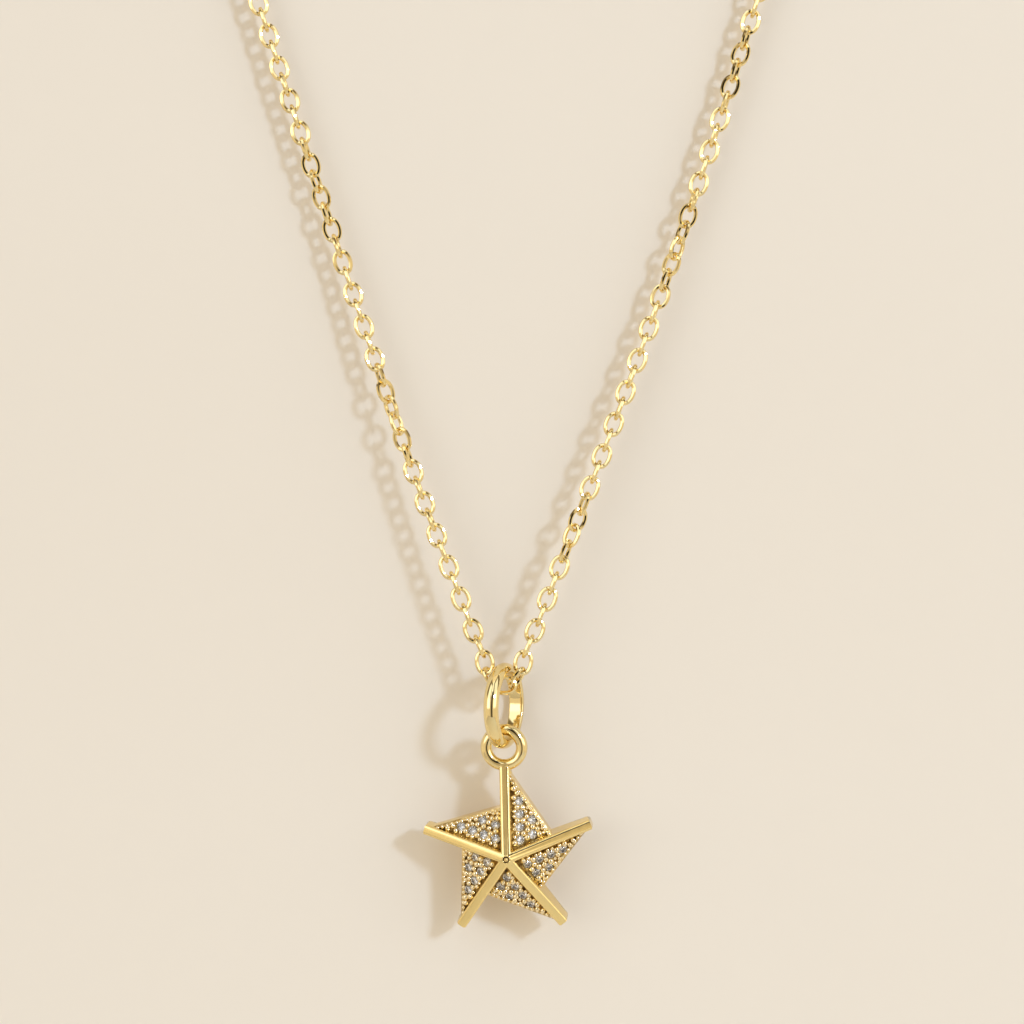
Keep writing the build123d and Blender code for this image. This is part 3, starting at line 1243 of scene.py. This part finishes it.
@dataclass
class Studio:
    """Cream wall close behind the pendant, a far one behind it, pale floor and soft light."""

    wall_gap_low: float = 3.40 * MM
    wall_gap_high: float = 1.55 * MM
    wall_bend_low: float = -203.0 * MM
    wall_bend_high: float = -153.0 * MM
    wall_bend_margin: float = 8.0 * MM
    wall_rows: int = 40
    wall_half: float = 0.6
    wall_top: float = 0.4
    backdrop_gap: float = 60.0 * MM
    floor_z: float = -620.0 * MM
    floor_half: float = 0.95
    key_aim_z: float = -190.0 * MM
    key_angle: float = math.radians(40.0)
    key_lift: float = math.radians(21.0)
    key_distance: float = 1.2
    key_side: float = 0.13
    key_power: float = 5.6
    room_level: float = 0.22
    boxes: tuple[SoftBox, ...] = (
        SoftBox(azimuth=0.0, lift=-4.0, half_width=20.0, half_height=34.0, brightness=0.30),
        SoftBox(azimuth=58.0, lift=-12.0, half_width=38.0, half_height=34.0, brightness=0.65),
        SoftBox(azimuth=-58.0, lift=-12.0, half_width=38.0, half_height=34.0, brightness=0.65),
        SoftBox(azimuth=-43.0, lift=28.0, half_width=21.0, half_height=30.0, brightness=1.35, softness=4.0,
                colour=Colour.WHITE_BOX),
        SoftBox(azimuth=52.0, lift=28.0, half_width=22.0, half_height=30.0, brightness=1.15, softness=4.0,
                colour=Colour.WHITE_BOX),
        SoftBox(azimuth=0.0, lift=50.0, half_width=14.0, half_height=20.0, brightness=1.3, softness=4.0,
                colour=Colour.WHITE_BOX),
        SoftBox(azimuth=0.0, lift=78.0, half_width=90.0, half_height=12.0, brightness=0.8),
    )
    gaps: tuple[SoftBox, ...] = (
        SoftBox(azimuth=7.0, lift=5.0, half_width=9.0, half_height=34.0, brightness=0.97, softness=2.5),
    )

    def build(self) -> None:
        """Makes the walls, the floor, the lamp and the world."""
        self.near_wall()
        self.cream_wall("backdrop", [(self.backdrop_gap, self.floor_z), (self.backdrop_gap, self.wall_top)])
        self.floor()
        self.key_lamp()
        self.world()
        bpy.context.scene.view_settings.view_transform = "Standard"

    def cream_wall(self, name: str, rows: Sequence[tuple[float, float]]) -> Object:
        """Cream wall that shows and stops light from the front alone.

        Args:
            name: the wall's name.
            rows: its gap behind the chain and its height, from the floor up.

        Returns:
            The wall.
        """
        points = [(x, gap, z) for gap, z in rows for x in (-self.wall_half, self.wall_half)]
        faces = [(2 * row, 2 * row + 1, 2 * row + 3, 2 * row + 2) for row in range(len(rows) - 1)]
        wall = mesh_object(name, np.array(points), faces)
        wall.data.materials.append(MattFinish(f"{name}_paint", Colour.CREAM_WALL, one_sided=True).material())
        return wall

    def near_wall(self) -> None:
        """Wall that takes the shadows and stands nearer to the chain higher up.

        It turns with the bail and is clear once turned, so that the pendant never swings behind it, and
        the far wall shows instead.
        """
        low = self.wall_bend_low - self.wall_bend_margin
        high = self.wall_bend_high + self.wall_bend_margin
        bend = np.linspace(low, high, self.wall_rows)
        heights = np.concatenate(([self.floor_z], bend, [self.wall_top]))
        share = np.clip((heights - self.wall_bend_low) / (self.wall_bend_high - self.wall_bend_low), 0.0, 1.0)
        share = share * share * (3 - 2 * share)
        gaps = self.wall_gap_low + (self.wall_gap_high - self.wall_gap_low) * share
        wall = self.cream_wall("wall", list(zip(gaps, heights)))
        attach(wall, "bail")

    def floor(self) -> None:
        """Plain pale floor under the pendant."""
        half = self.floor_half
        plan = ((-half, -half), (half, -half), (half, half), (-half, half))
        points = np.array([(x, y, self.floor_z) for x, y in plan])
        floor = mesh_object("floor", points, [(0, 1, 2, 3)])
        floor.data.materials.append(MattFinish("floor_paint", Colour.PALE_FLOOR).material())

    def key_lamp(self) -> None:
        """Key lamp from the right and a little above."""
        data = bpy.data.lights.new("key", "AREA")
        data.shape = "RECTANGLE"
        data.size = self.key_side
        data.size_y = self.key_side
        data.energy = self.key_power
        data.color = Colour.COOL_KEY.value
        aim = Vector((0.0, 0.0, self.key_aim_z))
        toward = Vector((
            math.sin(self.key_angle) * math.cos(self.key_lift),
            -math.cos(self.key_angle) * math.cos(self.key_lift),
            math.sin(self.key_lift),
        ))
        lamp = new_object("key", data)
        lamp.location = aim + toward * self.key_distance
        lamp.rotation_mode = "QUATERNION"
        lamp.rotation_quaternion = (aim - lamp.location).to_track_quat("-Z", "Y")

    def world(self) -> None:
        """Warm surround with soft boxes and a dark strip, which camera rays see as one pale tone."""
        world = bpy.data.worlds.new("studio")
        world.use_nodes = True
        world.node_tree.nodes.clear()
        bpy.context.scene.world = world
        tree = Tree(world.node_tree)
        ray = tree.add("ShaderNodeTexCoord").outputs["Generated"]
        split = tree.add("ShaderNodeSeparateXYZ", {0: ray})
        front = tree.math("MULTIPLY", split.outputs["Y"], -1.0)
        degree = math.degrees(1.0)
        azimuth = tree.math("MULTIPLY", tree.math("ARCTAN2", split.outputs["X"], front), degree)
        lift = tree.math("MULTIPLY", tree.math("ARCSINE", split.outputs["Z"]), degree)
        open_part = 1.0
        for gap in self.gaps:
            left = tree.math("MULTIPLY_ADD", gap.share(tree, azimuth, lift), -gap.brightness, 1.0)
            open_part = tree.math("MULTIPLY", open_part, left)
        level = tree.math("MULTIPLY", open_part, self.room_level)
        light = self.glow(tree, Colour.WARM_ROOM, level)
        for colour in (Colour.SOFT_BOX, Colour.WHITE_BOX):
            level = 0.0
            for box in (box for box in self.boxes if box.colour is colour):
                level = tree.math("MULTIPLY_ADD", box.share(tree, azimuth, lift), box.brightness, level)
            lit = self.glow(tree, colour, tree.math("MULTIPLY", level, open_part))
            light = tree.add("ShaderNodeAddShader", {0: light, 1: lit})
        plain = self.glow(tree, Colour.PALE_FLOOR, 1.0)
        seen = tree.add("ShaderNodeLightPath").outputs["Is Camera Ray"]
        mix = tree.add("ShaderNodeMixShader", {0: seen, 1: light, 2: plain})
        tree.add("ShaderNodeOutputWorld", {"Surface": mix})

    @staticmethod
    def glow(tree: Tree, colour: Colour, strength: float | Output) -> Output:
        """Light of one colour from all around."""
        values = {"Color": (*colour.value, 1.0), "Strength": strength}
        return tree.add("ShaderNodeBackground", values)


def corners(box: tuple[Vector, Vector]) -> list[list[float]]:
    """Corners of a box as plain lists of numbers."""
    return [list(corner) for corner in box]


def main() -> None:
    """Builds the pendant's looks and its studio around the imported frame."""
    logging.basicConfig(level=logging.INFO, format="%(message)s")
    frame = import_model()
    nodes = frame["nodes"]
    polished = GoldFinish("polished_gold").material()
    satin = GoldFinish("satin_gold", colour=Colour.RICH_GOLD, roughness=0.11,
                       roughness_spread=0.05).material()
    # The grains' paler gold is painted highlight
    bright = GoldFinish("bright_grain_gold", colour=Colour.PAINTED_HIGHLIGHT_GRAIN_GOLD, roughness=0.05,
                        wave_depth=0.0).material()
    rim = GoldFinish("brown_rim_gold", colour=Colour.YELLOW_GOLD, deep=Colour.BROWN_GOLD, tone_scale=2600.0,
                     roughness=0.30, roughness_spread=0.10, wave_scale=4000.0, wave_depth=0.4).material()
    # The bed's brown to near-black tones are partly the metal's own darker tone and partly painted shade in
    # its hollows
    bed = GoldFinish("dark_bed_gold", colour=Colour.BROWN_GOLD, deep=Colour.PAINTED_SHADE_GOLD, tone_scale=2600.0,
                     roughness=0.38, roughness_spread=0.15, wave_scale=4000.0, wave_depth=0.6).material()
    stone = StoneFinish("clear_stone").material()

    Viewpoint().build()
    Studio().build()
    chain, places = FrontChain().build(nodes["chain_front"], polished)
    hidden = HiddenChain().build(places, polished)
    dress_node(nodes["clasp"], polished, CLASP_EDGE)
    band = Bail().build(polished)
    form = StarForm()
    swing = next(joint for joint in frame["joints"] if joint["name"] == "star_swing")
    place = form.place(Vector(swing["pos_m"]))
    star = StarCast(form, place).build(nodes["star_setting"], {
        StarPart.BARS: satin, StarPart.BED: bed, StarPart.RING: polished, StarPart.RIM: rim,
    })
    grains, milgrain = Pave(form, place).build(nodes, bright)
    stones = [nodes[f"stones_{arm}"] for arm in ARMS]
    for field in stones:
        dress_node(field, stone, STONE_EDGE)
    for piece in (chain, hidden, nodes["clasp"], band, star, grains, milgrain, *stones):
        LOG.info("%s: %d faces", piece.name, len(piece.data.polygons))


if __name__ == "__main__":
    main()
